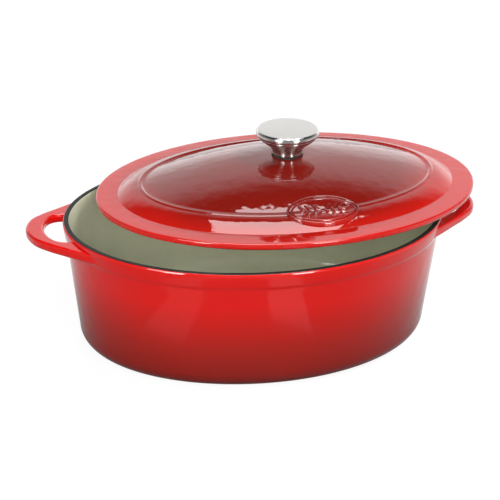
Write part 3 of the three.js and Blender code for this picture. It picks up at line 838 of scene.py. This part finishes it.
in_front = remap(tree, arithmetic(tree, "SUBTRACT", aside, spot.outputs["Y"]), 0.165, 0.2)
for middle, bright in PATCHES:
    off = arithmetic(tree, "ABSOLUTE", arithmetic(tree, "SUBTRACT", spot.outputs["X"], middle), 0)
    patch = remap(tree, off, PATCH_HALF, PATCH_FADED, bright, 0)
    shade = arithmetic(tree, "ADD", shade, arithmetic(tree, "MULTIPLY", patch, in_front))
mirrored = arithmetic(tree, "MULTIPLY", rays.outputs["Is Glossy Ray"], shade)
distance = tree.nodes.new("ShaderNodeVectorMath")
distance.operation = "LENGTH"
tree.links.new(on_floor, distance.inputs[0])
seen = arithmetic(tree, "MAXIMUM", rays.outputs["Is Camera Ray"], rays.outputs["Is Transmission Ray"])
whiter = remap(tree, distance.outputs["Value"], 0.5, 1.8, NEAR_GLOW, FAR_GLOW)
seen = arithmetic(tree, "MULTIPLY", seen, whiter)
mirrored = arithmetic(tree, "MULTIPLY", mirrored, NEAR_GLOW)
tree.links.new(arithmetic(tree, "MAXIMUM", seen, mirrored), glow.inputs["Strength"])
both = tree.nodes.new("ShaderNodeAddShader")
tree.links.new(matt.outputs["BSDF"], both.inputs[0])
tree.links.new(glow.outputs["Emission"], both.inputs[1])
tree.links.new(both.outputs["Shader"], out.inputs["Surface"])
floor.data.materials.append(floor_paint)

PANEL_GLOW = 1.13
LOW_WALL, HIGH_WALL = 0.32, 0.025
EVEN_LIGHT = 0.24
world = bpy.data.worlds.new("studio")
bpy.context.scene.world = world
world.use_nodes = True
tree = world.node_tree
tree.nodes.clear()
out = tree.nodes.new("ShaderNodeOutputWorld")
sky = tree.nodes.new("ShaderNodeBackground")
sky.inputs["Color"].default_value = (1, 1, 1, 1)
rays = tree.nodes.new("ShaderNodeLightPath")
facing = tree.nodes.new("ShaderNodeSeparateXYZ")
tree.links.new(tree.nodes.new("ShaderNodeTexCoord").outputs["Generated"], facing.inputs["Vector"])
to_right = arithmetic(tree, "MULTIPLY", facing.outputs["X"], 0.25)
panel = remap(tree, arithmetic(tree, "ADD", facing.outputs["Y"], to_right), 0.48, 0.8, 0, PANEL_GLOW)
walls = remap(tree, facing.outputs["Z"], 0.3, 0.7, LOW_WALL, HIGH_WALL)
low_glow = remap(tree, facing.outputs["Z"], 0.08, 0.4, 1.5, 1.0)
room = arithmetic(tree, "MULTIPLY", arithmetic(tree, "MAXIMUM", panel, walls), low_glow)
mirrored = arithmetic(tree, "MULTIPLY", rays.outputs["Is Glossy Ray"], room)
not_mirrored = arithmetic(tree, "SUBTRACT", 1, rays.outputs["Is Glossy Ray"])
even = arithmetic(tree, "MULTIPLY", not_mirrored, EVEN_LIGHT)
seen = arithmetic(tree, "MAXIMUM", rays.outputs["Is Camera Ray"], rays.outputs["Is Transmission Ray"])
light = arithmetic(tree, "ADD", mirrored, even)
tree.links.new(arithmetic(tree, "MAXIMUM", light, seen), sky.inputs["Strength"])
tree.links.new(sky.outputs["Background"], out.inputs["Surface"])


def soft_box(name, place, aim, size, watts, turn=0, lights=True, mirrored=True):
    lamp = bpy.data.lights.new(name, "AREA")
    lamp.shape = "RECTANGLE"
    lamp.size, lamp.size_y = size
    lamp.energy = watts
    box = bpy.data.objects.new(name, lamp)
    box.location = place
    box.visible_diffuse = lights
    box.visible_glossy = mirrored
    box.rotation_euler = (Vector(aim) - Vector(place)).to_track_quat("-Z", "Y").to_euler()
    box.rotation_euler.rotate_axis("Z", math.radians(turn))
    bpy.context.scene.collection.objects.link(box)


POT_MIDDLE = (0, 0, 0.06)
ABOVE_POT = (0, 0, 0.2)
OVERHEAD = (0.1, -0.07)
soft_box(
    "overhead_soft_box", (*OVERHEAD, 1.35), (*OVERHEAD, 0.1), (0.86, 0.93), 15.5, turn=-16, lights=False
)
soft_box("front_fill", (-0.3, -1.9, 0.9), POT_MIDDLE, (0.9, 0.8), 20, mirrored=False)
soft_box("right_fill", (1.35, -0.35, 1.95), POT_MIDDLE, (0.8, 0.8), 24, mirrored=False)
soft_box("back_fill", (0.3, 1.9, 1.0), POT_MIDDLE, (0.9, 0.8), 12, mirrored=False)
soft_box("right_soft_box", (0.72, -1.85, 1.0), POT_MIDDLE, (0.55, 0.9), 10)
soft_box("left_soft_box", (-1.3, -1.3, 0.95), POT_MIDDLE, (0.7, 0.9), 15)
soft_box("left_strip", (-1.1, -1.35, 0.42), ABOVE_POT, (0.3, 0.8), 9, lights=False)
soft_box("right_strip", (0.6, -1.75, 0.42), ABOVE_POT, (0.3, 0.8), 10, lights=False)

PICTURE_WIDTH = 500
FOCAL_LENGTH = 1496.7
lens = bpy.data.cameras.new("studio_camera")
lens.sensor_fit = "HORIZONTAL"
lens.sensor_width = 36
lens.lens = FOCAL_LENGTH * lens.sensor_width / PICTURE_WIDTH
lens.clip_end = 20
camera = bpy.data.objects.new("studio_camera", lens)
bpy.context.scene.collection.objects.link(camera)
view_right = Vector((0.97852, -0.20551, 0.01613))
view_up = Vector((0.07712, 0.4375, 0.89591))
view_back = Vector((-0.19117, -0.87542, 0.44395))
stand = Matrix.Translation((-0.23175, -1.04576, 0.60043))
camera.matrix_world = stand @ Matrix((view_right, view_up, view_back)).transposed().to_4x4()
bpy.context.scene.camera = camera
bpy.context.scene.view_settings.view_transform = "Standard"
